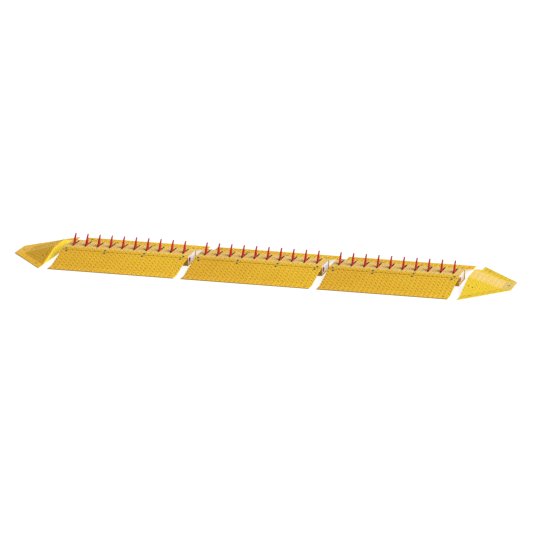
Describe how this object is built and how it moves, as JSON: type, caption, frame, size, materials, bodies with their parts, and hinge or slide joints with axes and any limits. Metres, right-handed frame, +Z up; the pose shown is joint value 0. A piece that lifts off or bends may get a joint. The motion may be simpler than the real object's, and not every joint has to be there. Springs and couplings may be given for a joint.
{
  "type": "tyre spike strip",
  "caption": "Surface-mounted one-way traffic spike strip: yellow tread plate sections with ramps and sloping end caps, and red hooked spikes that fold back into deck slots.",
  "frame": {"origin": "ground level under the middle of the strip", "axes": "+X along the strip to the right, +Y from the front ramp to the rear ramp, +Z up"},
  "size_m": [3.582, 0.915, 0.15],
  "materials": {
    "yellow_tread": "satin",
    "yellow_sheet": "satin",
    "white_plastic": "matte",
    "red_steel": "satin",
    "plain_steel": "plain",
    "spring_steel": "plain",
    "dark_steel": "zinc, dark"
  },
  "bodies": {
    "strip": {"left_deck_plate": "yellow_tread", "left_housing": "yellow_sheet", "left_front_ramp": "yellow_tread", "left_rear_ramp": "yellow_tread", "left_front_splice": "yellow_sheet", "left_rear_splice": "yellow_sheet", "left_left_bearing_plate": "white_plastic", "left_right_bearing_plate": "white_plastic", "left_return_springs": "spring_steel", "left_stop_bar": "plain_steel", "left_ramp_bolts": "dark_steel", "left_ramp_nuts": "dark_steel", "middle_deck_plate": "yellow_tread", "middle_housing": "yellow_sheet", "middle_front_ramp": "yellow_tread", "middle_rear_ramp": "yellow_tread", "middle_front_splice": "yellow_sheet", "middle_rear_splice": "yellow_sheet", "middle_left_bearing_plate": "white_plastic", "middle_right_bearing_plate": "white_plastic", "middle_return_springs": "spring_steel", "middle_stop_bar": "plain_steel", "middle_ramp_bolts": "dark_steel", "middle_ramp_nuts": "dark_steel", "right_deck_plate": "yellow_tread", "right_housing": "yellow_sheet", "right_front_ramp": "yellow_tread", "right_rear_ramp": "yellow_tread", "right_front_splice": "yellow_sheet", "right_rear_splice": "yellow_sheet", "right_left_bearing_plate": "white_plastic", "right_right_bearing_plate": "white_plastic", "right_return_springs": "spring_steel", "right_stop_bar": "plain_steel", "right_ramp_bolts": "dark_steel", "right_ramp_nuts": "dark_steel", "left_cap_shell": "yellow_tread", "left_cap_end_wall": "yellow_sheet", "left_cap_rib": "yellow_sheet", "right_cap_shell": "yellow_tread", "right_cap_end_wall": "yellow_sheet", "right_cap_rib": "yellow_sheet"},
    "left_spike_bar": {"left_spike_shaft": "red_steel", "left_spikes": "red_steel", "left_shaft_collars": "plain_steel"},
    "middle_spike_bar": {"middle_spike_shaft": "red_steel", "middle_spikes": "red_steel", "middle_shaft_collars": "plain_steel"},
    "right_spike_bar": {"right_spike_shaft": "red_steel", "right_spikes": "red_steel", "right_shaft_collars": "plain_steel"}
  },
  "joints": [
    {"name": "left_spike_fold", "type": "hinge", "parent": "strip", "child": "left_spike_bar", "pos_m": [-0.968, -0.04186, 0.034], "axis": [-1, 0, 0], "range_deg": [0, 60], "stiffness_Nm_per_rad": 3, "springref_deg": -57.3, "deforming": ["left_return_springs"]},
    {"name": "middle_spike_fold", "type": "hinge", "parent": "strip", "child": "middle_spike_bar", "pos_m": [0, -0.04186, 0.034], "axis": [-1, 0, 0], "range_deg": [0, 60], "stiffness_Nm_per_rad": 3, "springref_deg": -57.3, "deforming": ["middle_return_springs"]},
    {"name": "right_spike_fold", "type": "hinge", "parent": "strip", "child": "right_spike_bar", "pos_m": [0.968, -0.04186, 0.034], "axis": [-1, 0, 0], "range_deg": [0, 60], "stiffness_Nm_per_rad": 3, "springref_deg": -57.3, "deforming": ["right_return_springs"]}
  ]
}
